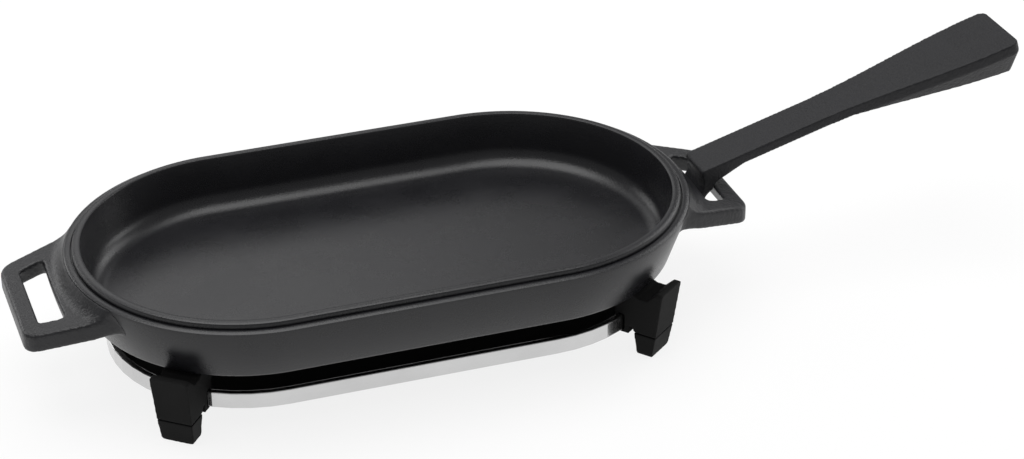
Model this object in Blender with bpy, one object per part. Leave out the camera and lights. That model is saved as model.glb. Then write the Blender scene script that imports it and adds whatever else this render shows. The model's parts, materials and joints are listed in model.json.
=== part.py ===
# Sizzler pan: a cast iron dish with a loop at each end, a lift-out handle and a trivet.
# Metres, +Z up. X runs from the free loop to the handle's grip, Y across the dish.
# The origin is on the table, under the middle of the whole object's length and width.

import math
from collections import namedtuple

import bmesh
import bpy
from mathutils import Matrix, Vector

MM = 0.001

# Clearances
SEAT_GAP = 0.3 * MM             # between two pieces that rest on each other
CUT_MARGIN = 2.0 * MM           # how far a cutter runs past the faces that it cuts
WELD = 0.01 * MM                # points closer than this are one point

# Dish: a round-ended bowl, the same section all the way round
HALF_STRAIGHT = 59.5 * MM       # from the middle of the dish to each end's centre
RIM_RADIUS = 72.0 * MM          # inner edge of the rim round each end's centre
DISH_HEIGHT = 28.8 * MM
FLOOR_THICKNESS = 4.3 * MM
LIP_WIDTH = 4.0 * MM            # raised band next to the bowl
LIP_STEP = 2.4 * MM             # height of that band above the ledge outside it
LEDGE_WIDTH = 4.3 * MM          # lower band, out to the widest part of the wall
GROOVE_WIDTH = 0.9 * MM         # shadow line between the two bands
GROOVE_DEPTH = 0.7 * MM
GROOVE_SLOPE = 0.3 * MM         # run of the groove's outer side
OUTER_DRAFT = 9.0 * MM          # how far the outside comes in from the ledge to the base
INNER_DRAFT = 2.0 * MM          # the same inside, from the rim to the floor
FLOOR_FILLET = 9.0 * MM
BASE_FILLET = 3.0 * MM
LEDGE_FILLET = 1.5 * MM
LIP_FILLET = 0.8 * MM

# Loops: two flat open loops cast with the dish, tipped down towards their ends
LOOP_REACH = 24.2 * MM          # from the ledge to the loop's end
LOOP_ROOT_HALF_WIDTH = 37.4 * MM
LOOP_TIP_HALF_WIDTH = 31.1 * MM
LOOP_CORNER_RADIUS = 7.7 * MM
LOOP_THICKNESS = 8.4 * MM
LOOP_DROP = 9.4 * MM            # from the rim down to the loop's top at the ledge
LOOP_FALL = math.radians(11.3)  # tilt of the loop's top
LOOP_EDGE_FILLET = 1.0 * MM
LOOP_ROOT_DEPTH = 6.8 * MM      # how far a loop's root runs into the wall, from the ledge
LOOP_BAR_WIDTH = 8.4 * MM       # bar across the loop's end
HANDLE_LOOP_LESS = 2.6 * MM     # the handle's loop is this much less wide each side
HANDLE_LOOP_SHORT = 0.9 * MM    # and its end this much nearer
HANDLE_BAR_MORE = 1.1 * MM      # and its bar this much wider
LOOP_SIDE_WIDTH = 10.7 * MM     # bar along each side
OPENING_START = 5.5 * MM        # from the ledge to the opening's inner corners
OPENING_BULGE = 0.9 * MM        # how far that edge bows outwards in the middle
OPENING_CORNER_RADIUS = 2.0 * MM
OPENING_DRAFT = 1.6 * MM        # how much wider each side of the opening is underneath
BAR_LEAN = math.radians(20.0)   # the bar's inner face leans out under the bar
COVE_SETBACK = 0.3 * MM         # from the hollow sweep between ledge and loop to the opening
COVE_TOP_DROP = 0.9 * MM        # where that sweep starts, below the ledge
COVE_SINK = 0.15 * MM           # how far its foot runs into the loop
COVE_SIDE_INSET = 0.4 * MM      # its ends, from the loop's side faces
COVE_ROOT_DEPTH = 2.8 * MM      # how far it goes on down inside the loop
COVE_OVERRUN = 3.7 * MM         # past the loop's root on each side, before its ends are cut
COVE_SHAPE = 1.7                # 2 makes its section a quarter of an ellipse, 1 a straight line

# Handle: one casting, a flat blade with a claw that catches under the dish's side of the loop
HANDLE_SLOPE = math.radians(16.1)
HANDLE_REACH = 149.8 * MM       # along the top, from above the bar's inner edge to the end
HANDLE_ABOVE_BAR = 10.5 * MM    # top of the handle above the bar's inner edge
BLADE_THICKNESS = 4.9 * MM
NECK_HALF_WIDTH = 10.1 * MM
GRIP_HALF_WIDTH = 17.7 * MM
FLARE_START = 52.1 * MM         # where the blade begins to widen
FLARE_END_INSET = 7.7 * MM      # where it stops, from the handle's end
GRIP_CORNER_RADIUS = 4.0 * MM
WEDGE_START = 69.6 * MM         # where the thick underside of the grip begins
WEDGE_DEPTH = 12.3 * MM         # its depth below the blade at the grip's end
WEDGE_INSET = 6.8 * MM          # how far its flat bottom stands in from the blade's sides there
WEDGE_END_INSET = 4.2 * MM      # the same at the blade's end
WEDGE_CORNER_RADIUS = 1.5 * MM
NOSE_REACH = 6.3 * MM           # handle's inner end, from the bar's inner edge
NOSE_RADIUS = 3.5 * MM
NOSE_DEPTH = 4.6 * MM           # height of the nose, down to the shin below it
SHIN_INSET = 1.6 * MM           # the shin stands back this far from the nose
SHIN_RADIUS = 3.0 * MM
CLAW_SLOPE = math.radians(60.0)  # the claw points down and in, towards the dish
CLAW_REACH = 4.2 * MM           # along its face, past the edge that it catches under
CLAW_TIP_THICKNESS = 2.6 * MM
CLAW_TIP_RADIUS = 1.2 * MM
CALF_INSET = 2.5 * MM           # hollow behind the claw, in from the bar's inner edge
CALF_DROP = 2.8 * MM            # and below it
CALF_RADIUS = 2.0 * MM
HEEL_WIDTH = 1.0 * MM           # how far the heel rests on the bar
HEEL_DROP = 1.2 * MM            # how far it goes down inside the bar
HEEL_RISE = 2.2 * MM            # back of the heel above the bar's inner edge
HEEL_RUN = 12.2 * MM            # length of the sloping stretch from there to the neck
HEEL_RADIUS = 1.5 * MM
HOOK_LENGTH = 19.1 * MM         # along the top, the stretch that is modelled with the claw
HANDLE_EDGE_FILLET = 0.7 * MM

# Trivet: a flat steel bar on edge bent into a ring, on four moulded feet
SEAT_HEIGHT = 30.4 * MM         # top of the feet's seats above the table
RING_INSET = 7.0 * MM           # outer face of the ring, in from the dish's base
RING_THICKNESS = 3.0 * MM
RING_HEIGHT = 7.4 * MM
RING_CLEARANCE = 10.9 * MM      # from the table up to the ring
RING_EDGE_RADIUS = 0.6 * MM
FOOT_ANGLE = math.radians(51.0)  # from the long axis, round each end's centre
LEG_DEPTH = 7.2 * MM            # at the table, along the radius
LEG_LEAN = 1.4 * MM             # how far the pad's inner face leans in towards its top
TOE_OUT = 6.2 * MM              # outer face at the table, out from the dish's base
STEP_OUT = 2.1 * MM             # outer face at the pad's top, further out
LUG_OUT = 3.2 * MM              # outer face at the lug's top, further out again
LUG_THICKNESS = 2.9 * MM
LUG_RISE = 2.9 * MM             # lug above the seat
LUG_SLOPE_RUN = 4.6 * MM        # how far the lug's inner face leans
VALLEY_DROP = 1.6 * MM          # hollow between the lug and the seat, below the seat
VALLEY_WIDTH = 4.0 * MM
VALLEY_END_RUN = 3.6 * MM       # slope from the hollow up to the seat
SEAT_IN = 7.5 * MM              # seat's end, in from the outer face of the ring
SEAT_THICKNESS = 4.9 * MM
PAD_HEIGHT = 10.9 * MM
ARCH_HEIGHT = 13.6 * MM         # underside of the arm between the leg and the ring
ARCH_RUN = 1.1 * MM             # from the leg in to where that underside is level
TOE_HALF_WIDTH = 7.5 * MM
STEP_HALF_WIDTH = 8.1 * MM
LUG_HALF_WIDTH = 8.6 * MM
LUG_CORNER_RADIUS = 4.5 * MM
TOE_CORNER_RADIUS = 1.5 * MM
CORNER_CHAMFER = 1.6 * MM       # upright outer corners
CLAMP_WALL = 1.7 * MM           # of the feet round the ring
CLAMP_TOP_WALL = 3.4 * MM
CLAMP_FLOOR = 1.2 * MM
SHELF_REACH = 4.0 * MM          # of each clamp's floor inwards, under the plate
PLATE_THICKNESS = 1.5 * MM      # plate inside the ring
PLATE_EDGE_FILLET = 0.4 * MM
STUB_DEPTH = 7.0 * MM           # plug under each foot that the pad is pushed onto
STUB_LENGTH = 4.4 * MM
STUB_HALF_WIDTH = 4.0 * MM
FOOT_EDGE_FILLET = 0.5 * MM

# Steps round the curves
END_STEPS = 24
ARC_STEPS = 5
COVE_STEPS = 7
COVE_ROWS = 16
FLARE_STEPS = 12

# Sizes that follow from those above
LIP_RADIUS = RIM_RADIUS + LIP_WIDTH
LEDGE_RADIUS = LIP_RADIUS + LEDGE_WIDTH
BASE_RADIUS = LEDGE_RADIUS - OUTER_DRAFT
LEDGE_HEIGHT = DISH_HEIGHT - LIP_STEP
LEDGE_REACH = HALF_STRAIGHT + LEDGE_RADIUS
LOOP_END = LEDGE_REACH + LOOP_REACH
LOOP_TAPER = (LOOP_ROOT_HALF_WIDTH - LOOP_TIP_HALF_WIDTH) / LOOP_REACH
LOOP_ROOT_RADIUS = LEDGE_RADIUS - LOOP_ROOT_DEPTH
OPENING_IN = LEDGE_REACH + OPENING_START
DISH_BASE = SEAT_HEIGHT + SEAT_GAP
BAR_EDGE_X = LOOP_END - HANDLE_LOOP_SHORT - LOOP_BAR_WIDTH - HANDLE_BAR_MORE
BAR_EDGE_HEIGHT = DISH_HEIGHT - LOOP_DROP - (BAR_EDGE_X - LEDGE_REACH) * math.tan(LOOP_FALL)
ALONG = Vector((math.cos(HANDLE_SLOPE), math.sin(HANDLE_SLOPE)))
ACROSS = Vector((-math.sin(HANDLE_SLOPE), math.cos(HANDLE_SLOPE)))
HANDLE_END = BAR_EDGE_X + HANDLE_REACH * ALONG.x - BLADE_THICKNESS * ACROSS.x
DISH_X = (LOOP_END - HANDLE_END) / 2
FLARE_END = HANDLE_REACH - FLARE_END_INSET
RING_RADIUS = BASE_RADIUS - RING_INSET
RING_MID = RING_RADIUS - RING_THICKNESS / 2
CLAMP_IN = RING_RADIUS - RING_THICKNESS - SEAT_GAP - CLAMP_WALL
TOE_RADIUS = BASE_RADIUS + TOE_OUT
STEP_RADIUS = TOE_RADIUS + STEP_OUT
LUG_RADIUS = STEP_RADIUS + LUG_OUT


# How a loop differs from the free one: narrower each side, shorter, with a wider bar
Loop = namedtuple("Loop", "narrower shorter wider_bar")
FREE_LOOP = Loop(0.0, 0.0, 0.0)
HANDLE_LOOP = Loop(HANDLE_LOOP_LESS, HANDLE_LOOP_SHORT, HANDLE_BAR_MORE)


def clear_scene():
    """Remove whatever the opened file holds."""
    for old in list(bpy.data.objects):
        bpy.data.objects.remove(old, do_unlink=True)


def make_material(name, colour, roughness, metallic):
    """Principled material of one plain finish."""
    material = bpy.data.materials.new(name)
    material.use_nodes = True
    shader = material.node_tree.nodes["Principled BSDF"]
    shader.inputs["Base Color"].default_value = (*colour, 1.0)
    shader.inputs["Roughness"].default_value = roughness
    shader.inputs["Metallic"].default_value = metallic
    material.diffuse_color = (*colour, 1.0)
    return material


def round_corner(before, corner, after, radius, steps=ARC_STEPS):
    """Points of the arc that replaces one corner of an outline."""
    if radius <= 0:
        return [corner]
    back = (before - corner).normalized()
    ahead = (after - corner).normalized()
    half_angle = back.angle(ahead) / 2
    setback = radius / math.tan(half_angle)
    setback = min(setback, 0.49 * (before - corner).length, 0.49 * (after - corner).length)
    radius = setback * math.tan(half_angle)
    centre = corner + (back + ahead).normalized() * radius / math.sin(half_angle)
    first = corner + back * setback - centre
    last = corner + ahead * setback - centre
    sweep = first.angle(last)
    points = []
    for i in range(steps + 1):
        share = i / steps
        weight_first = math.sin((1 - share) * sweep) / math.sin(sweep)
        weight_last = math.sin(share * sweep) / math.sin(sweep)
        points.append(centre + first * weight_first + last * weight_last)
    return points


def round_outline(corners, closed=True, steps=ARC_STEPS):
    """Outline through (x, y, radius) corners, each corner rounded by its radius."""
    spots = [Vector((x, y)) for x, y, radius in corners]
    points = []
    for i, (x, y, radius) in enumerate(corners):
        at_end = not closed and i in (0, len(corners) - 1)
        if at_end:
            points.append(spots[i])
            continue
        after = spots[(i + 1) % len(spots)]
        points += round_corner(spots[i - 1], spots[i], after, radius, steps)
    return points


def loft(rows, closed_rows=False):
    """Mesh through equal rows of points; open rows of rings get a flat cap at each end."""
    mesh = bmesh.new()
    rings = [[mesh.verts.new(point) for point in row] for row in rows]
    pairs = list(zip(rings, rings[1:]))
    if closed_rows:
        pairs.append((rings[-1], rings[0]))
    for lower, upper in pairs:
        for i in range(len(lower)):
            j = (i + 1) % len(lower)
            mesh.faces.new((lower[i], lower[j], upper[j], upper[i]))
    if not closed_rows:
        mesh.faces.new(rings[0])
        mesh.faces.new(rings[-1])
    bmesh.ops.recalc_face_normals(mesh, faces=mesh.faces)
    return mesh


def add_object(name, mesh):
    """Object from a bmesh, linked to the scene."""
    data = bpy.data.meshes.new(name)
    mesh.to_mesh(data)
    mesh.free()
    item = bpy.data.objects.new(name, data)
    bpy.context.scene.collection.objects.link(item)
    return item


def apply_modifiers(item):
    """Replace an object's mesh by its evaluated one."""
    bpy.context.view_layer.update()
    graph = bpy.context.evaluated_depsgraph_get()
    item.data = bpy.data.meshes.new_from_object(item.evaluated_get(graph))
    item.modifiers.clear()


def combine(base, tool, operation):
    """Boolean of two objects, which uses up the tool."""
    step = base.modifiers.new(operation.lower(), 'BOOLEAN')
    step.operation = operation
    step.solver = 'EXACT'
    step.object = tool
    apply_modifiers(base)
    bpy.data.objects.remove(tool, do_unlink=True)


def weld(item):
    """Join points that all but meet."""
    mesh = bmesh.new()
    mesh.from_mesh(item.data)
    bmesh.ops.remove_doubles(mesh, verts=mesh.verts, dist=WELD)
    mesh.to_mesh(item.data)
    mesh.free()


def bevel_edges(item, width, segments):
    """Round an object's sharp edges."""
    step = item.modifiers.new("edges", 'BEVEL')
    step.width = width
    step.segments = segments
    step.limit_method = 'ANGLE'
    step.angle_limit = math.radians(40)
    apply_modifiers(item)
    weld(item)


def finish(item, name, material, parent):
    """Name, material, shading and parent of a finished piece."""
    item.name = name
    item.data.name = name
    item.data.materials.clear()
    item.data.materials.append(material)
    item.data.shade_smooth()
    item.data.set_sharp_from_angle(angle=math.radians(35))
    item.parent = parent
    return item


def add_frame(name, location, parent=None):
    """Empty that carries the pieces of one body."""
    frame = bpy.data.objects.new(name, None)
    frame.location = location
    frame.parent = parent
    bpy.context.scene.collection.objects.link(frame)
    return frame


def stadium(radius, height):
    """Ring of points round both ends' centres at one radius and height."""
    points = []
    for side in (1, -1):
        for i in range(END_STEPS + 1):
            angle = math.pi * (i / END_STEPS - 0.5)
            x = side * (HALF_STRAIGHT + radius * math.cos(angle))
            points.append(Vector((x, side * radius * math.sin(angle), height)))
    return points


def dish_bowl():
    """Bowl of the dish: one section swept round the stadium, closed by its base and floor."""
    floor_radius = RIM_RADIUS - INNER_DRAFT
    groove_out = LIP_RADIUS + GROOVE_WIDTH
    section = [
        (BASE_RADIUS - 2 * BASE_FILLET, 0, 0),
        (BASE_RADIUS, 0, BASE_FILLET),
        (LEDGE_RADIUS, LEDGE_HEIGHT, LEDGE_FILLET),
        (groove_out, LEDGE_HEIGHT, 0),
        (groove_out - GROOVE_SLOPE, LEDGE_HEIGHT - GROOVE_DEPTH, 0),
        (LIP_RADIUS, LEDGE_HEIGHT - GROOVE_DEPTH, 0),
        (LIP_RADIUS, DISH_HEIGHT, LIP_FILLET),
        (RIM_RADIUS, DISH_HEIGHT, LIP_FILLET),
        (floor_radius, FLOOR_THICKNESS, FLOOR_FILLET),
        (floor_radius - 2 * FLOOR_FILLET, FLOOR_THICKNESS, 0),
    ]
    outline = round_outline(section, closed=False)
    return add_object("dish", loft([stadium(radius, height) for radius, height in outline]))


def loop_half_width(x, loop):
    """Half-width of a loop at a distance from the middle of the dish."""
    return LOOP_ROOT_HALF_WIDTH - loop.narrower - LOOP_TAPER * (x - LEDGE_REACH)


def loop_top(x):
    """Height of a loop's top at a distance from the middle of the dish."""
    return DISH_HEIGHT - LOOP_DROP - (x - LEDGE_REACH) * math.tan(LOOP_FALL)


def tip_down(mesh):
    """Move a flat loop shape to the height and tilt of the loop's top."""
    for vert in mesh.verts:
        vert.co.z += loop_top(vert.co.x)


def loop_outline(loop, inset=0.0):
    """Outside of a loop seen from above, rooted inside the dish's wall."""
    end = LOOP_END - loop.shorter - inset
    reach = loop_half_width(HALF_STRAIGHT, loop) - inset
    root = math.asin(reach / (LOOP_ROOT_RADIUS * math.hypot(1, LOOP_TAPER))) - math.atan(LOOP_TAPER)
    points = []
    for i in range(COVE_ROWS + 1):
        angle = root - 2 * root * i / COVE_ROWS
        x = HALF_STRAIGHT + LOOP_ROOT_RADIUS * math.cos(angle)
        points.append(Vector((x, LOOP_ROOT_RADIUS * math.sin(angle))))
    tip = loop_half_width(end, loop) - inset
    for side in (-1, 1):
        before = points[-1]
        corner = Vector((end, side * tip))
        after = Vector((end, tip)) if side < 0 else points[0]
        points += round_corner(before, corner, after, LOOP_CORNER_RADIUS)
    return points


def prism(outline, low, high):
    """Straight mesh between two heights over an outline."""
    return loft([[Vector((x, y, z)) for x, y in outline] for z in (low, high)])


def opening_outline(depth, loop):
    """Opening of a loop at a depth below the loop's top; it widens downwards."""
    share = depth / LOOP_THICKNESS
    lean = math.tan(BAR_LEAN)
    x_in = OPENING_IN - OPENING_DRAFT * share
    x_top = LOOP_END - loop.shorter - LOOP_BAR_WIDTH - loop.wider_bar
    x_out = x_top + depth * lean / (1 - math.tan(LOOP_FALL) * lean)
    sides = LOOP_SIDE_WIDTH - OPENING_DRAFT * share
    y_in = loop_half_width(x_in, loop) - sides
    y_out = loop_half_width(x_out, loop) - sides
    radius = OPENING_CORNER_RADIUS
    corners = [(x_in, -y_in, radius), (x_out, -y_out, radius), (x_out, y_out, radius), (x_in, y_in, radius)]
    for i in range(1, COVE_ROWS // 2):
        across = 1 - 4 * i / COVE_ROWS
        corners.append((x_in + OPENING_BULGE * (1 - across * across), y_in * across, 0))
    return round_outline(corners, steps=3)


def loop_plate(loop):
    """One open loop with rounded edges."""
    flat = prism(loop_outline(loop), -LOOP_THICKNESS, 0)
    tip_down(flat)
    plate = add_object("loop", flat)
    rows = []
    for depth in (LOOP_THICKNESS + CUT_MARGIN, -CUT_MARGIN):
        rows.append([Vector((x, y, -depth)) for x, y in opening_outline(depth, loop)])
    cutter = loft(rows)
    tip_down(cutter)
    combine(plate, add_object("opening", cutter), 'DIFFERENCE')
    bevel_edges(plate, LOOP_EDGE_FILLET, 2)
    return plate


def loop_cove(loop):
    """Hollow sweep between the ledge and a loop, from one side of the loop to the other."""
    top = LEDGE_HEIGHT - COVE_TOP_DROP
    half_opening = loop_half_width(OPENING_IN, loop) - LOOP_SIDE_WIDTH
    rows = []
    for i in range(COVE_ROWS + 1):
        y = (LOOP_ROOT_HALF_WIDTH + COVE_OVERRUN) * (2 * i / COVE_ROWS - 1)
        wall_x = HALF_STRAIGHT + math.sqrt(LEDGE_RADIUS ** 2 - y * y)
        inside_x = HALF_STRAIGHT + math.sqrt((LEDGE_RADIUS - LEDGE_WIDTH) ** 2 - y * y)
        bow = OPENING_BULGE * (1 - min(1, abs(y) / half_opening) ** 2)
        foot_x = OPENING_IN - COVE_SETBACK + bow
        foot_z = loop_top(foot_x) - COVE_SINK
        sunk = foot_z - COVE_ROOT_DEPTH
        section = [(inside_x, sunk), (inside_x, top), (wall_x, top)]
        for j in range(1, COVE_STEPS + 1):
            turn = math.pi / 2 * j / COVE_STEPS
            along = 1 - math.cos(turn) ** (2 / COVE_SHAPE)
            down = math.sin(turn) ** (2 / COVE_SHAPE)
            section.append((wall_x + (foot_x - wall_x) * along, top - (top - foot_z) * down))
        section.append((foot_x, sunk))
        rows.append([Vector((x, y, z)) for x, z in section])
    cove = add_object("cove", loft(rows))
    sides = add_object("sides", prism(loop_outline(loop, COVE_SIDE_INSET), 0, DISH_HEIGHT))
    combine(cove, sides, 'INTERSECT')
    return cove


def turn_round(item):
    """Turn a shape half way round, to the other end of the dish."""
    item.data.transform(Matrix.Rotation(math.pi, 4, 'Z'))
    return item


def make_dish(material, parent):
    """Dish with both loops, one casting."""
    dish = dish_bowl()
    for shape in (loop_plate, loop_cove):
        combine(dish, shape(HANDLE_LOOP), 'UNION')
        combine(dish, turn_round(shape(FREE_LOOP)), 'UNION')
    return finish(dish, "dish", material, parent)


def on_handle(distance, depth=0.0):
    """Point of the handle's side view from its distance along the top and depth below it."""
    return Vector((0, HANDLE_ABOVE_BAR)) + ALONG * distance - ACROSS * depth


def hook_outline():
    """Side view of the neck and claw, from the neck's top round the tip to its underside."""
    down = Vector((-math.cos(CLAW_SLOPE), -math.sin(CLAW_SLOPE)))
    clear = Vector((math.sin(CLAW_SLOPE), -math.cos(CLAW_SLOPE)))
    catch_x = OPENING_IN + OPENING_BULGE - OPENING_DRAFT
    catch = Vector((catch_x - BAR_EDGE_X, loop_top(catch_x) - LOOP_THICKNESS - BAR_EDGE_HEIGHT))
    face = catch + clear * SEAT_GAP
    tip = face + down * CLAW_REACH
    nose = on_handle(-NOSE_REACH / ALONG.x)
    shin_x = SHIN_INSET - NOSE_REACH
    knee = face + down * ((shin_x - face.x) / down.x)
    neck = on_handle((HEEL_WIDTH + HEEL_RUN) / ALONG.x, BLADE_THICKNESS)
    corners = [
        (*on_handle(HOOK_LENGTH), 0),
        (*nose, NOSE_RADIUS),
        (shin_x, nose.y - NOSE_DEPTH, SHIN_RADIUS),
        (*knee, SHIN_RADIUS),
        (*tip, CLAW_TIP_RADIUS),
        (*(tip + clear * CLAW_TIP_THICKNESS), CLAW_TIP_RADIUS),
        (-CALF_INSET, -CALF_DROP, CALF_RADIUS),
        (-SEAT_GAP, -HEEL_DROP, 0),
        (-SEAT_GAP, SEAT_GAP, 0),
        (HEEL_WIDTH, SEAT_GAP, 0),
        (HEEL_WIDTH, HEEL_RISE, HEEL_RADIUS),
        (*neck, HEEL_RADIUS),
        (*on_handle(HOOK_LENGTH, BLADE_THICKNESS), 0),
    ]
    return round_outline(corners, closed=False)


def flare(distance):
    """Half-width of the blade at a distance along its top."""
    share = (distance - FLARE_START) / (FLARE_END - FLARE_START)
    share = min(max(share, 0), 1)
    return NECK_HALF_WIDTH + (GRIP_HALF_WIDTH - NECK_HALF_WIDTH) * share * share * (3 - 2 * share)


def wedge_depth(distance):
    """Depth of the grip's underside below the blade."""
    return max(0, WEDGE_DEPTH * (distance - WEDGE_START) / (HANDLE_REACH - WEDGE_END_INSET - WEDGE_START))


def blade_stations():
    """Outer edge and bottom edge of the blade: (distance, half-width) of each, per station."""
    stations = [((HOOK_LENGTH, NECK_HALF_WIDTH), (HOOK_LENGTH, NECK_HALF_WIDTH))]
    for limits in ((HOOK_LENGTH, WEDGE_START), (WEDGE_START, FLARE_END)):
        for i in range(1, FLARE_STEPS + 1):
            distance = limits[0] + (limits[1] - limits[0]) * i / FLARE_STEPS
            inset = WEDGE_INSET * wedge_depth(distance) / WEDGE_DEPTH
            stations.append(((distance, flare(distance)), (distance, flare(distance) - inset)))
    outer = (HANDLE_REACH - GRIP_CORNER_RADIUS, GRIP_HALF_WIDTH - GRIP_CORNER_RADIUS)
    inner_end = HANDLE_REACH - WEDGE_END_INSET - WEDGE_CORNER_RADIUS
    inner = (inner_end, GRIP_HALF_WIDTH - WEDGE_INSET - WEDGE_CORNER_RADIUS)
    for i in range(ARC_STEPS + 1):
        turn = math.pi / 2 * i / ARC_STEPS
        corner = [(centre[0] + radius * math.sin(turn), centre[1] + radius * math.cos(turn))
                  for centre, radius in ((outer, GRIP_CORNER_RADIUS), (inner, WEDGE_CORNER_RADIUS))]
        stations.append(tuple(corner))
    return stations


def make_handle(material, parent):
    """Handle: the claw's flat sides run on into the blade, which widens and thickens."""
    mesh = bmesh.new()
    bar_edge = Vector((BAR_EDGE_X - OPENING_IN, BAR_EDGE_HEIGHT - loop_top(OPENING_IN)))

    def vertex(spot, y):
        return mesh.verts.new((bar_edge.x + spot.x, y, bar_edge.y + spot.y))

    hook = [[vertex(spot, side * NECK_HALF_WIDTH) for spot in hook_outline()] for side in (-1, 1)]
    for near, far in zip(zip(hook[0], hook[0][1:]), zip(hook[1], hook[1][1:])):
        mesh.faces.new((near[0], near[1], far[1], far[0]))
    for side in hook:
        mesh.faces.new(side)
    rows = []
    for i, ((distance, half_width), (low_distance, low_half_width)) in enumerate(blade_stations()):
        if i == 0:
            rows.append([[side[0], side[-1], side[-1]] for side in hook])
            continue
        row = []
        for side in (-1, 1):
            top = vertex(on_handle(distance), side * half_width)
            edge = vertex(on_handle(distance, BLADE_THICKNESS), side * half_width)
            depth = wedge_depth(low_distance)
            bottom = edge
            if depth > 0:
                spot = on_handle(low_distance, BLADE_THICKNESS + depth)
                bottom = vertex(spot, side * low_half_width)
            row.append([top, edge, bottom])
        rows.append(row)
    for row, after in zip(rows, rows[1:]):
        for side in (0, 1):
            for level in (0, 1):
                corners = [row[side][level], after[side][level], after[side][level + 1], row[side][level + 1]]
                corners = list(dict.fromkeys(corners))
                if len(corners) > 2:
                    mesh.faces.new(corners)
        for level in (0, 2):
            mesh.faces.new((row[0][level], after[0][level], after[1][level], row[1][level]))
    end = rows[-1]
    for level in (0, 1):
        mesh.faces.new((end[0][level], end[1][level], end[1][level + 1], end[0][level + 1]))
    bmesh.ops.recalc_face_normals(mesh, faces=mesh.faces)
    handle = add_object("handle", mesh)
    bevel_edges(handle, HANDLE_EDGE_FILLET, 2)
    return finish(handle, "handle", material, parent)


def make_ring(material, parent):
    """Flat bar on edge, bent into a ring the shape of the dish."""
    low = RING_CLEARANCE
    high = RING_CLEARANCE + RING_HEIGHT
    inner = RING_RADIUS - RING_THICKNESS
    section = [(inner, low), (RING_RADIUS, low), (RING_RADIUS, high), (inner, high)]
    outline = round_outline([(*corner, RING_EDGE_RADIUS) for corner in section], steps=3)
    ring = add_object("trivet_ring", loft([stadium(r, z) for r, z in outline], closed_rows=True))
    return finish(ring, "trivet_ring", material, parent)


def make_plate(material, parent):
    """Flat plate inside the ring, lying on the feet's shelves."""
    radius = CLAMP_IN - SEAT_GAP
    heights = (RING_CLEARANCE, RING_CLEARANCE + PLATE_THICKNESS)
    plate = add_object("plate", loft([stadium(radius, height) for height in heights]))
    bevel_edges(plate, PLATE_EDGE_FILLET, 1)
    return finish(plate, "trivet_plate", material, parent)


def curved_block(inner, outer, low, high, half_angle):
    """Block that follows the ring, about the foot's own middle."""
    rows = []
    for i in range(ARC_STEPS * 2 + 1):
        angle = half_angle * (i / ARC_STEPS - 1)
        turn = Vector((math.cos(angle), math.sin(angle)))
        corners = ((inner, low), (outer, low), (outer, high), (inner, high))
        rows.append([Vector((r * turn.x, r * turn.y, z)) for r, z in corners])
    return loft(rows)


def chamfer_corners(item):
    """Cut the upright outer corners off a foot or pad, along its leaning sides."""
    mesh = bmesh.new()
    mesh.from_mesh(item.data)
    corners = []
    for edge in mesh.edges:
        low, high = sorted(edge.verts, key=lambda vert: vert.co.z)
        upright = high.co.z - low.co.z > 2 * CORNER_CHAMFER
        outer = min(low.co.x, high.co.x) > TOE_RADIUS - LEG_DEPTH / 2
        at_side = min(abs(low.co.y), abs(high.co.y)) > TOE_HALF_WIDTH - TOE_CORNER_RADIUS
        if upright and outer and at_side and high.co.x > low.co.x:
            corners.append(edge)
    bmesh.ops.bevel(mesh, geom=corners, offset=CORNER_CHAMFER, segments=1, affect='EDGES', clamp_overlap=True)
    mesh.to_mesh(item.data)
    mesh.free()


def side_prism(outline, half_width):
    """Mesh over an outline of (radius, height), across the foot."""
    return loft([[Vector((r, y, z)) for r, z in outline] for y in (-half_width, half_width)])


def front_prism():
    """Foot seen from outside, as wide as it is at each height."""
    top = SEAT_HEIGHT + LUG_RISE
    corners = []
    for side in (1, -1):
        profile = [
            (TOE_HALF_WIDTH, 0, TOE_CORNER_RADIUS),
            (STEP_HALF_WIDTH, PAD_HEIGHT, 0),
            (LUG_HALF_WIDTH, SEAT_HEIGHT, 0),
            (LUG_HALF_WIDTH, top, LUG_CORNER_RADIUS),
        ]
        corners += [(side * x, z, radius) for x, z, radius in profile[::side]]
    outline = round_outline(corners)
    reach = LUG_RADIUS + LUG_THICKNESS
    return loft([[Vector((r, y, z)) for y, z in outline] for r in (0, reach)])


def stub_block(gap, top):
    """Plug under a foot, or with a gap the socket for it."""
    middle = TOE_RADIUS - LEG_DEPTH / 2
    half_length = STUB_LENGTH / 2 + gap
    half_width = STUB_HALF_WIDTH + gap
    corners = ((-1, -1), (1, -1), (1, 1), (-1, 1))
    outline = [Vector((middle + x * half_length, y * half_width)) for x, y in corners]
    return prism(outline, PAD_HEIGHT - STUB_DEPTH - gap, top)


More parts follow.
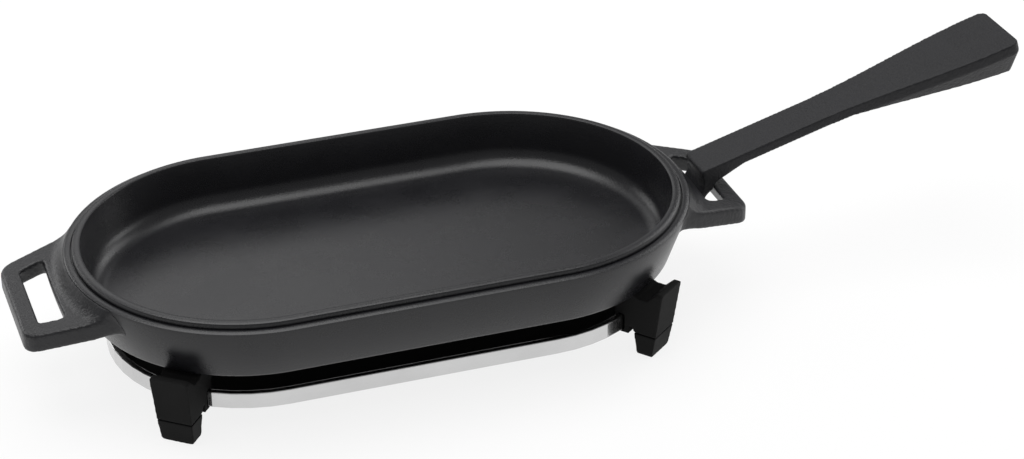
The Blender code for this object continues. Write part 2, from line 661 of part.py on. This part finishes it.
def foot_shape():
    """Foot above its pad: seat, lug, clamp round the ring, shelf and the plug for the pad."""
    slot_in = CLAMP_IN + CLAMP_WALL
    slot_out = RING_RADIUS + SEAT_GAP
    slot_low = RING_CLEARANCE - SEAT_GAP
    slot_high = RING_CLEARANCE + RING_HEIGHT + SEAT_GAP
    clamp_out = slot_out + CLAMP_WALL
    clamp_low = slot_low - CLAMP_FLOOR
    leg_in = TOE_RADIUS - LEG_DEPTH - LEG_LEAN
    seat_in = RING_RADIUS - SEAT_IN
    lug_top = SEAT_HEIGHT + LUG_RISE
    lug_in = LUG_RADIUS - LUG_THICKNESS
    valley = SEAT_HEIGHT - VALLEY_DROP
    valley_out = lug_in - LUG_SLOPE_RUN
    valley_in = valley_out - VALLEY_WIDTH
    outline = [
        (CLAMP_IN - SHELF_REACH, clamp_low), (clamp_out, clamp_low), (clamp_out, ARCH_HEIGHT),
        (leg_in - ARCH_RUN, ARCH_HEIGHT), (leg_in, PAD_HEIGHT), (STEP_RADIUS, PAD_HEIGHT),
        (LUG_RADIUS, lug_top), (lug_in, lug_top), (valley_out, valley), (valley_in, valley),
        (valley_in - VALLEY_END_RUN, SEAT_HEIGHT), (seat_in, SEAT_HEIGHT),
        (seat_in, SEAT_HEIGHT - SEAT_THICKNESS), (CLAMP_IN, slot_high + CLAMP_TOP_WALL),
        (CLAMP_IN, slot_low), (CLAMP_IN - SHELF_REACH, slot_low),
    ]
    foot = add_object("foot", side_prism(outline, LUG_HALF_WIDTH + CUT_MARGIN))
    combine(foot, add_object("front", front_prism()), 'INTERSECT')
    chamfer_corners(foot)
    bevel_edges(foot, FOOT_EDGE_FILLET, 1)
    combine(foot, add_object("stub", stub_block(0, PAD_HEIGHT + STUB_LENGTH)), 'UNION')
    half_angle = math.atan((LUG_HALF_WIDTH + CUT_MARGIN) / RING_MID)
    slot = curved_block(slot_in, slot_out, slot_low, slot_high, half_angle)
    combine(foot, add_object("slot", slot), 'DIFFERENCE')
    return foot


def pad_shape():
    """Pad that takes the floor: the leg's lower end, with a socket in its top."""
    top = PAD_HEIGHT - SEAT_GAP
    leg_in = TOE_RADIUS - LEG_DEPTH
    share = top / PAD_HEIGHT
    outer_top = TOE_RADIUS + (STEP_RADIUS - TOE_RADIUS) * share
    outline = [(leg_in, 0), (TOE_RADIUS, 0), (outer_top, top), (leg_in - LEG_LEAN * share, top)]
    pad = add_object("pad", side_prism(outline, LUG_HALF_WIDTH + CUT_MARGIN))
    combine(pad, add_object("front", front_prism()), 'INTERSECT')
    chamfer_corners(pad)
    bevel_edges(pad, FOOT_EDGE_FILLET, 1)
    combine(pad, add_object("socket", stub_block(SEAT_GAP, PAD_HEIGHT)), 'DIFFERENCE')
    return pad


def make_feet(foot_material, pad_material, parent):
    """Four feet and pads, each a copy of one shape turned round its end's centre."""
    shapes = (("foot", foot_shape(), foot_material), ("foot_pad", pad_shape(), pad_material))
    for end, end_name in ((1, "right"), (-1, "left")):
        for side, side_name in ((-1, "front"), (1, "back")):
            angle = side * FOOT_ANGLE if end > 0 else math.pi - side * FOOT_ANGLE
            for kind, shape, material in shapes:
                piece = bpy.data.objects.new(kind, shape.data.copy())
                bpy.context.scene.collection.objects.link(piece)
                finish(piece, f"{kind}_{side_name}_{end_name}", material, parent)
                piece.location = (end * HALF_STRAIGHT, 0, 0)
                piece.rotation_euler = (0, 0, angle)
    for kind, shape, material in shapes:
        bpy.data.objects.remove(shape, do_unlink=True)


def main():
    clear_scene()
    iron = make_material("cast_iron_dish", (0.035, 0.035, 0.037), 0.55, 0.4)
    handle_iron = make_material("cast_iron_handle", (0.04, 0.04, 0.042), 0.6, 0.4)
    steel = make_material("polished_steel", (0.78, 0.78, 0.79), 0.12, 1.0)
    coating = make_material("black_coated_steel", (0.02, 0.02, 0.02), 0.5, 0.0)
    plastic = make_material("black_moulding", (0.022, 0.022, 0.022), 0.6, 0.0)
    rubber = make_material("black_rubber", (0.016, 0.016, 0.016), 0.75, 0.0)
    trivet_frame = add_frame("trivet_frame", (DISH_X, 0, 0))
    dish_frame = add_frame("dish_frame", (0, 0, DISH_BASE), trivet_frame)
    handle_frame = add_frame("handle_frame", (OPENING_IN, 0, loop_top(OPENING_IN)), dish_frame)
    make_ring(steel, trivet_frame)
    make_plate(coating, trivet_frame)
    make_feet(plastic, rubber, trivet_frame)
    make_dish(iron, dish_frame)
    make_handle(handle_iron, handle_frame)


main()
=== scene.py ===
import json
import math
from collections import Counter

import bpy
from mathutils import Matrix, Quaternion, Vector

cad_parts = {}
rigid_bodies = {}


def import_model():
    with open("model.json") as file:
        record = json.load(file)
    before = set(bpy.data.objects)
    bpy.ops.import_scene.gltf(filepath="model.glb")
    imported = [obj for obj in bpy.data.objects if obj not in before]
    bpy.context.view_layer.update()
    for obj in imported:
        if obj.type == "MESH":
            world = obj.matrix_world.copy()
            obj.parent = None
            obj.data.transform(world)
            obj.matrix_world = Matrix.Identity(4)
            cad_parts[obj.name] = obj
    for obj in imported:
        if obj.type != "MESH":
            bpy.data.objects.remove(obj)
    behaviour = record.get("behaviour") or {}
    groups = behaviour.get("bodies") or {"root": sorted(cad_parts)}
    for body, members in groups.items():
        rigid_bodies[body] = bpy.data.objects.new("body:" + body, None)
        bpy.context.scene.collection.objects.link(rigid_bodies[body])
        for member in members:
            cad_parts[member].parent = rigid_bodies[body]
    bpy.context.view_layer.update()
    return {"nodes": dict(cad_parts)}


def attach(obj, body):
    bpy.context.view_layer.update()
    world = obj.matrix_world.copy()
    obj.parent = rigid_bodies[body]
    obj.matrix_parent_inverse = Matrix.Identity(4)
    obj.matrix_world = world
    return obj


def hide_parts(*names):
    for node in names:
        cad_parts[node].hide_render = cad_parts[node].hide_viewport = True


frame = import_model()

mm = 0.001


class Wire:  # a socket that shader maths can be written with
    def __init__(self, paint, socket):
        self.paint = paint
        self.socket = socket

    def maths(self, operation, first, second):
        return self.paint.node("ShaderNodeMath", {"operation": operation}, {0: first, 1: second})

    def __add__(self, other):
        return self.maths("ADD", self, other)

    def __radd__(self, other):
        return self.maths("ADD", other, self)

    def __sub__(self, other):
        return self.maths("SUBTRACT", self, other)

    def __rsub__(self, other):
        return self.maths("SUBTRACT", other, self)

    def __mul__(self, other):
        return self.maths("MULTIPLY", self, other)

    def __rmul__(self, other):
        return self.maths("MULTIPLY", other, self)

    def below(self, limit):
        return self.maths("MINIMUM", self, limit)

    def swing(self, amount):  # a pattern from 0 to 1 made to swing round 0
        return amount * (self - 0.5)


class Paint:  # one material and its nodes
    def __init__(self, name):
        self.material = bpy.data.materials.new(name)
        self.material.use_nodes = True
        self.tree = self.material.node_tree
        self.tree.nodes.clear()

    def node(self, kind, settings, inputs, output=0):
        made = self.tree.nodes.new(kind)
        for name, value in settings.items():
            if name == "stops":
                while len(made.color_ramp.elements) < len(value):
                    made.color_ramp.elements.new(0.5)
                for stop, (position, level) in zip(made.color_ramp.elements, value):
                    stop.position = position
                    stop.color = (level, level, level, 1)
            else:
                setattr(made, name, value)
        for name, value in inputs.items():
            if isinstance(value, Wire):
                self.tree.links.new(value.socket, made.inputs[name])
            else:
                made.inputs[name].default_value = value
        return Wire(self, made.outputs[output])

    def place(self):  # the point on the piece, in metres
        return self.node("ShaderNodeTexCoord", {}, {}, "Object")

    def noise(self, place, size, detail, rough):
        inputs = {"Vector": place, "Scale": 1 / size, "Detail": detail, "Roughness": rough}
        return self.node("ShaderNodeTexNoise", {}, inputs)

    def ramp(self, value, stops):
        return self.node("ShaderNodeValToRGB", {"stops": stops}, {0: value})

    def mix(self, share, first, second):
        return self.node("ShaderNodeMix", {"data_type": "RGBA"}, {0: share, 6: first, 7: second}, 2)

    def bump(self, strength, depth, height):
        return self.node("ShaderNodeBump", {}, {"Strength": strength, "Distance": depth, "Height": height})

    def finish(self, shader):
        output = self.tree.nodes.new("ShaderNodeOutputMaterial")
        self.tree.links.new(shader.socket, output.inputs["Surface"])
        return self.material


def grey(level, tint=0.0):
    return (level, level, level * (1 + tint), 1)


# what all the castings have in common
ironGrain = {"tint": 0.15, "sandSoftness": 0.7, "sandDepth": 0.8, "fineSize": 0.6, "depth": 0.4 * mm,
             "patchStops": [(0.35, 0), (0.65, 1)], "patchRough": 0.06, "fineRough": 0.1}


def castIron(name, look):
    paint = Paint(name)
    place = paint.place()
    sand = paint.node("ShaderNodeTexVoronoi", {"feature": "SMOOTH_F1"}, {
        "Vector": place,
        "Scale": 1 / look["grain"],
        "Smoothness": ironGrain["sandSoftness"],
    })
    fine = paint.noise(place, look["grain"] * ironGrain["fineSize"], 3, 0.6)
    patches = paint.ramp(paint.noise(place, look["patch"], 3, 0.55), ironGrain["patchStops"])
    lumps = paint.noise(place, look["lumpSize"], 3, 0.6)
    height = fine - sand * ironGrain["sandDepth"] + lumps * look["lumpDepth"]
    dark, light = (grey(look[shade], ironGrain["tint"]) for shade in ("dark", "light"))
    rough = look["roughness"] + patches.swing(ironGrain["patchRough"]) + fine.swing(ironGrain["fineRough"])
    return paint.finish(paint.node("ShaderNodeBsdfPrincipled", {}, {
        "Base Color": paint.mix(patches, dark, light),
        "Roughness": rough,
        "Specular IOR Level": look["gloss"],
        "Normal": paint.bump(look["bump"], ironGrain["depth"], height),
    }))


def steelFinish(name, look):
    paint = Paint(name)
    place = paint.place()
    along = paint.node("ShaderNodeMapping", {}, {"Vector": place, "Scale": look["strokes"]})
    brush = paint.noise(along, 1, 3, 0.6)
    smears = paint.noise(place, look["smear"], 3, 0.5)
    rough = look["roughness"] + brush.swing(look["brushRough"]) + smears.swing(look["smearRough"])
    return paint.finish(paint.node("ShaderNodeBsdfPrincipled", {}, {
        "Base Color": paint.mix(smears, grey(look["dark"]), grey(look["light"])),
        "Metallic": 1.0,
        "Roughness": rough,
        "Normal": paint.bump(look["bump"], look["depth"], brush),
    }))


# what the plate (a black sheet that stands in for the shade under the dish), the feet and their pads have in
# common
skinGrain = {"depth": 0.2 * mm, "patchRough": 0.15}


def moulded(name, look):
    paint = Paint(name)
    place = paint.place()
    skin = paint.noise(place, look["grain"], 2, 0.6)
    patches = paint.noise(place, look["patch"], 2, 0.5)
    return paint.finish(paint.node("ShaderNodeBsdfPrincipled", {}, {
        "Base Color": paint.mix(patches, grey(look["dark"]), grey(look["light"])),
        "Roughness": look["roughness"] + patches.swing(skinGrain["patchRough"]),
        "Specular IOR Level": look["gloss"],
        "Normal": paint.bump(look["bump"], skinGrain["depth"], skin),
    }))


def only(item):
    bpy.ops.object.select_all(action="DESELECT")
    item.select_set(True)
    bpy.context.view_layer.objects.active = item


def applied(item, kind, settings):
    step = item.modifiers.new(kind.lower(), kind)
    for name, value in settings.items():
        setattr(step, name, value)
    bpy.ops.object.modifier_apply(modifier=step.name)


def smoothed(item, rounds, group=""):
    applied(item, "SMOOTH", {"factor": 0.5, "iterations": rounds, "vertex_group": group})


def picked(item, kind, parts, wanted):  # edit mode, with nothing selected but the wanted parts
    bpy.ops.object.mode_set(mode="EDIT")
    bpy.ops.mesh.select_mode(type=kind)
    bpy.ops.mesh.select_all(action="DESELECT")
    bpy.ops.object.mode_set(mode="OBJECT")
    for part in getattr(item.data, parts):
        part.select = wanted(part)
    bpy.ops.object.mode_set(mode="EDIT")


def ready(item, node, material, body):
    item.data.materials.clear()
    item.data.materials.append(material)
    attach(item, body)
    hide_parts(node)


# a copy of a CAD node with its edges and inner corners rounded, as a mould leaves them
def softened(node, name, facts):
    item = bpy.data.objects.new(name, frame["nodes"][node].data.copy())
    bpy.context.scene.collection.objects.link(item)
    only(item)
    bpy.ops.object.mode_set(mode="EDIT")
    bpy.ops.mesh.select_all(action="SELECT")
    bpy.ops.mesh.remove_doubles(threshold=0.01 * mm)
    bpy.ops.mesh.normals_make_consistent(inside=False)
    bpy.ops.object.mode_set(mode="OBJECT")
    applied(item, "REMESH", {"mode": "VOXEL", "voxel_size": facts["voxel"]})
    smoothed(item, facts["rounds"])
    bpy.ops.object.shade_smooth()
    return item


def fromLine(vert, dish):  # distance from the dish's middle line, the same all round the rim
    past = max(abs(vert.co.x - dish["middle"]) - dish["halfLine"], 0)
    return math.hypot(past, vert.co.y)


def blendLoops(item, dish, facts):  # the loops' roots run softly into the wall
    root = item.vertex_groups.new(name="root")
    for vert in item.data.vertices:
        share = (facts["blendFrom"] - fromLine(vert, dish)) / facts["blendOver"]
        if share > 0:
            root.add([vert.index], min(share, 1), "REPLACE")
    smoothed(item, facts["blendRounds"], "root")


def keepLoops(item, dish, facts):  # drops the shards and flaps that the cut leaves on the wall
    bpy.ops.object.mode_set(mode="EDIT")
    bpy.ops.mesh.select_mode(type="VERT")
    bpy.ops.mesh.select_all(action="SELECT")
    bpy.ops.mesh.quads_convert_to_tris()
    picked(item, "VERT", "vertices", lambda vert: fromLine(vert, dish) > facts["barFrom"])
    bpy.ops.mesh.select_linked()
    bpy.ops.mesh.select_all(action="INVERT")
    bpy.ops.mesh.delete(type="VERT")
    bpy.ops.object.mode_set(mode="OBJECT")
    uses = Counter(edge for face in item.data.polygons for edge in face.edge_keys)
    twins = Counter(frozenset(face.vertices) for face in item.data.polygons)

    def loose(face):  # a doubled face, or one with an open edge
        return twins[frozenset(face.vertices)] > 1 or any(uses[edge] == 1 for edge in face.edge_keys)

    picked(item, "FACE", "polygons", loose)
    bpy.ops.mesh.delete(type="FACE")
    bpy.ops.mesh.select_mode(type="VERT")
    bpy.ops.object.mode_set(mode="OBJECT")


# a section's points from its corners: distance from the middle line, height above the base and fillet, in mm
def roundSection(corners, facesPerMm):
    spots = [Vector((out, up)) for out, up, fillet in corners]
    fillets = [fillet for out, up, fillet in corners]
    points = [spots[0]]
    for before, spot, after, fillet in zip(spots, spots[1:], spots[2:], fillets[1:]):
        if not fillet:
            points.append(spot)
            continue
        back, ahead = (before - spot).normalized(), (after - spot).normalized()
        half = back.angle(ahead) / 2
        reach = fillet / math.tan(half)
        middle = spot + (back + ahead).normalized() * (fillet / math.sin(half))
        first, last = spot + back * reach - middle, spot + ahead * reach - middle
        steps = max(2, round(fillet * facesPerMm))
        for step in range(steps + 1):
            points.append(middle + first.slerp(last, step / steps) * fillet)
    return points + [spots[-1]]


def roundBody(name, corners, dish):  # a section swept round both ends of the dish and closed
    section = roundSection(corners, dish["facesPerMm"])
    start = section[0]
    centre = (dish["middle"], 0, 0)
    bpy.ops.mesh.primitive_circle_add(vertices=dish["points"], radius=start.x * mm, fill_type="NGON",
                                      location=(dish["middle"], 0, dish["base"] + start.y * mm))
    item = bpy.context.object
    item.name = name
    bpy.ops.object.transform_apply(location=True)
    bpy.ops.object.mode_set(mode="EDIT")
    bpy.ops.mesh.select_all(action="SELECT")
    halfStep = math.pi / dish["points"]  # so that no point stands where the circle is parted
    bpy.ops.transform.rotate(value=halfStep, orient_axis="Z", center_override=centre)
    picked(item, "EDGE", "edges", lambda edge: True)
    for here, there in zip(section, section[1:]):
        grow = there.x / here.x
        bpy.ops.mesh.extrude_edges_move(TRANSFORM_OT_translate={"value": (0, 0, (there.y - here.y) * mm)})
        bpy.ops.transform.resize(value=(grow, grow, 1), center_override=centre)
    bpy.ops.mesh.edge_face_add()
    for side in (-1, 1):
        picked(item, "VERT", "vertices", lambda vert: (vert.co.x - dish["middle"]) * side > 0)
        bpy.ops.transform.translate(value=(side * dish["halfLine"], 0, 0))
    bpy.ops.mesh.select_all(action="SELECT")
    bpy.ops.mesh.normals_make_consistent(inside=False)
    bpy.ops.object.mode_set(mode="OBJECT")
    return item


# the dish's middle line, and how finely its round ends and fillets are made
dishFacts = {"middle": -67.442 * mm, "halfLine": 59.5 * mm, "base": 30.7 * mm,
             "points": 160, "facesPerMm": 1.5, "sharpFrom": math.radians(35)}

# in the bowl's section At is a distance from the middle line and Up a height above the base, in mm
bowlFacts = {
    "floorAt": 70, "floorUp": 4.3, "floorFillet": 9,
    "lipInnerAt": 72, "lipInnerFillet": 0.9, "lipOuterAt": 76, "lipOuterFillet": 1.5, "lipUp": 28.8,
    "grooveAt": 76.4, "grooveUp": 25.6,
    "ledgeInnerAt": 76.6, "ledgeInnerFillet": 0.2, "ledgeOuterAt": 80.3, "ledgeOuterFillet": 1.3,
    "ledgeUp": 26.4,
    "baseAt": 71.3, "baseFillet": 3,
    "floorCapAt": 52, "baseCapAt": 60,
    "dark": 0.010, "light": 0.013, "grain": 0.8 * mm, "patch": 26 * mm, "bump": 0.14,
    "roughness": 0.28, "gloss": 0.41, "lumpSize": 5 * mm, "lumpDepth": 0.4,
}
loopFacts = {
    "voxel": 0.7 * mm, "rounds": 7,
    "blendFrom": 85 * mm, "blendOver": 4 * mm, "blendRounds": 40,
    "barFrom": 92 * mm,  # only the loops' bars are as far out as this
    "cutMore": 0.05, "cutUp": 32, "cutRimAt": 77.5, "cutCapAt": 40,  # the cutter, in mm as the bowl
    "dark": 0.010, "light": 0.014, "grain": 1.5 * mm, "patch": 14 * mm, "bump": 0.35,
    "roughness": 0.40, "gloss": 0.42, "lumpSize": 4.5 * mm, "lumpDepth": 2.2,
}


def bowlCorners(bowl):  # from the floor over the lip, the groove and the ledge to the base
    return [
        (bowl["floorCapAt"], bowl["floorUp"], 0),
        (bowl["floorAt"], bowl["floorUp"], bowl["floorFillet"]),
        (bowl["lipInnerAt"], bowl["lipUp"], bowl["lipInnerFillet"]),
        (bowl["lipOuterAt"], bowl["lipUp"], bowl["lipOuterFillet"]),
        (bowl["lipOuterAt"], bowl["grooveUp"], 0),
        (bowl["grooveAt"], bowl["grooveUp"], 0),
        (bowl["ledgeInnerAt"], bowl["ledgeUp"], bowl["ledgeInnerFillet"]),
        (bowl["ledgeOuterAt"], bowl["ledgeUp"], bowl["ledgeOuterFillet"]),
        (bowl["baseAt"], 0, bowl["baseFillet"]),
        (bowl["baseCapAt"], 0, 0),
    ]


def cutterCorners(bowl, loops):  # the bowl's outside and a little more, to cut the loops free
    more = loops["cutMore"]
    return [
        (loops["cutCapAt"], loops["cutUp"], 0),
        (loops["cutRimAt"], loops["cutUp"], 0),
        (loops["cutRimAt"], bowl["ledgeUp"] + more, 0),
        (bowl["ledgeOuterAt"] + more, bowl["ledgeUp"] + more, bowl["ledgeOuterFillet"]),
        (bowl["baseAt"] + more, -more, bowl["baseFillet"]),
        (loops["cutCapAt"], -more, 0),
    ]


bowl = roundBody("dishBowl", bowlCorners(bowlFacts), dishFacts)
bpy.ops.object.shade_smooth_by_angle(angle=dishFacts["sharpFrom"])
ready(bowl, "dish", castIron("bowlIron", bowlFacts), "dish")
loops = softened("dish", "dishLoops", loopFacts)
blendLoops(loops, dishFacts, loopFacts)
cutter = roundBody("cutter", cutterCorners(bowlFacts, loopFacts), dishFacts)
only(loops)
applied(loops, "BOOLEAN", {"operation": "DIFFERENCE", "object": cutter, "solver": "MANIFOLD"})
keepLoops(loops, dishFacts, loopFacts)
bpy.data.objects.remove(cutter, do_unlink=True)
ready(loops, "dish", castIron("loopIron", loopFacts), "dish")
print("dish done")

handleFacts = {
    "voxel": 0.6 * mm, "rounds": 3,
    "dark": 0.011, "light": 0.014, "grain": 1.5 * mm, "patch": 18 * mm, "bump": 0.5,
    "roughness": 0.50, "gloss": 0.26, "lumpSize": 4.5 * mm, "lumpDepth": 1.6,
}
handleIron = castIron("handleIron", handleFacts)
ready(softened("handle", "handleCasting", handleFacts), "handle", handleIron, "handle")
print("handle done")

# the ring and the plate stay the CAD's own and only get their finish; the plate's near-black finish is
# painted shade
ringFacts = {
    "dark": 0.56, "light": 0.68, "smear": 18 * mm, "bump": 0.08, "depth": 0.1 * mm,
    "roughness": 0.2, "brushRough": 0.1, "smearRough": 0.06,
    "strokes": (60, 60, 2600),  # to the metre: long round the ring, fine over the height of its bar
}
# painted shade: the plate fills a place where there is only deep shade under the dish, and its near-black
# colour stands in for that shade
shadePlateFacts = {"dark": 0.005, "light": 0.008, "grain": 0.6 * mm, "patch": 20 * mm, "bump": 0.2,
              "roughness": 0.7, "gloss": 0.2}
ringSteel = steelFinish("ringSteel", ringFacts)
shadePlateBlack = moulded("shadePlateBlack", shadePlateFacts)
for node, material in (("trivet_ring", ringSteel), ("trivet_plate", shadePlateBlack)):
    for place in frame["nodes"][node].material_slots:
        place.material = material
print("ring and plate done")

footFacts = {
    "voxel": 0.4 * mm, "rounds": 3,
    "dark": 0.009, "light": 0.012, "grain": 0.5 * mm, "patch": 12 * mm, "bump": 0.2,
    "roughness": 0.80, "gloss": 0.14,
}
padFacts = {
    "voxel": 0.4 * mm, "rounds": 2,
    "dark": 0.003, "light": 0.005, "grain": 0.7 * mm, "patch": 9 * mm, "bump": 0.3,
    "roughness": 0.7, "gloss": 0.15,
}
footPlastic = moulded("footPlastic", footFacts)
padRubber = moulded("padRubber", padFacts)
for side in ("front", "back"):
    for end in ("left", "right"):
        corner = side.capitalize() + end.capitalize()
        foot = softened(f"foot_{side}_{end}", "foot" + corner, footFacts)
        ready(foot, f"foot_{side}_{end}", footPlastic, "trivet")
        pad = softened(f"foot_pad_{side}_{end}", "pad" + corner, padFacts)
        ready(pad, f"foot_pad_{side}_{end}", padRubber, "trivet")
print("feet and pads done")


camera = {
    "aim": (-67.442 * mm, 0, 59.5 * mm),  # the middle of the rim
    "back": (-0.2413, -0.8404, 0.4853),  # the way from there to the camera
    "distance": 1.19876,
    "roll": math.radians(-1.806),
    "lens": 96.55,
    "sensor": 36,
    "shift": (0.12948, -0.01928),
    "clip": (0.05, 50),
}


def placeCamera():
    data = bpy.data.cameras.new("camera")
    item = bpy.data.objects.new("camera", data)
    bpy.context.scene.collection.objects.link(item)
    back = Vector(camera["back"]).normalized()
    item.location = Vector(camera["aim"]) + back * camera["distance"]
    item.rotation_mode = "QUATERNION"
    roll = Quaternion((0, 0, 1), camera["roll"])
    item.rotation_quaternion = (-back).to_track_quat("-Z", "Y") @ roll
    data.sensor_width = camera["sensor"]
    data.lens = camera["lens"]
    data.shift_x, data.shift_y = camera["shift"]
    data.clip_start, data.clip_end = camera["clip"]
    bpy.context.scene.camera = item


lamps = {
    "topLamp": {"place": (-0.2, 0.1, 1.5), "size": 1.6, "power": 20},
    "leftLamp": {"place": (-0.9, 1.45, 0.6), "size": 0.8, "power": 4},
    "backLamp": {"place": (0.0, 1.4, 1.15), "size": 1.1, "power": 3},
    "sideLamp": {"place": (1.25, 0.7, 0.95), "size": 0.9, "power": 5},
    "rightLamp": {"place": (1.5, 0.0, 0.4), "size": 0.7, "power": 4},
}


def placeLamps():  # all of them face the frame's origin
    for name, facts in lamps.items():
        bpy.ops.object.light_add(type="AREA", location=facts["place"])
        lamp = bpy.context.object
        lamp.name = name
        lamp.data.shape = "DISK"
        lamp.data.size = facts["size"]
        lamp.data.energy = facts["power"]
        lamp.rotation_mode = "QUATERNION"
        lamp.rotation_quaternion = Vector(facts["place"]).to_track_quat("Z", "Y")


room = {"light": 0.3, "floorSize": 12, "floorGrey": 0.9, "floorWhite": 0.85}


def placeWorld():
    world = bpy.data.worlds.new("room")
    bpy.context.scene.world = world
    world.use_nodes = True
    sky = world.node_tree.nodes["Background"]
    sky.inputs["Color"].default_value = (1, 1, 1, 1)
    sky.inputs["Strength"].default_value = room["light"]


def placeFloor():  # it glows nearly white where it is seen or mirrored, and otherwise it is a pale grey floor
    bpy.ops.mesh.primitive_plane_add(size=room["floorSize"])
    floor = bpy.context.object
    floor.name = "floor"
    paint = Paint("floorPaint")
    seen = paint.node("ShaderNodeLightPath", {}, {}, "Is Camera Ray")
    rays = seen.socket.node.outputs
    direct = (seen + Wire(paint, rays["Is Glossy Ray"]) + Wire(paint, rays["Is Transmission Ray"])).below(1)
    plain = paint.node("ShaderNodeBsdfDiffuse", {}, {"Color": grey(room["floorGrey"])})
    white = paint.node("ShaderNodeEmission", {}, {"Color": grey(1), "Strength": 1.0})
    shader = paint.node("ShaderNodeMixShader", {}, {0: direct * room["floorWhite"], 1: plain, 2: white})
    floor.data.materials.append(paint.finish(shader))


placeCamera()
placeLamps()
placeWorld()
placeFloor()
print("camera, lamps and floor done")
bpy.context.scene.view_settings.view_transform = "Standard"
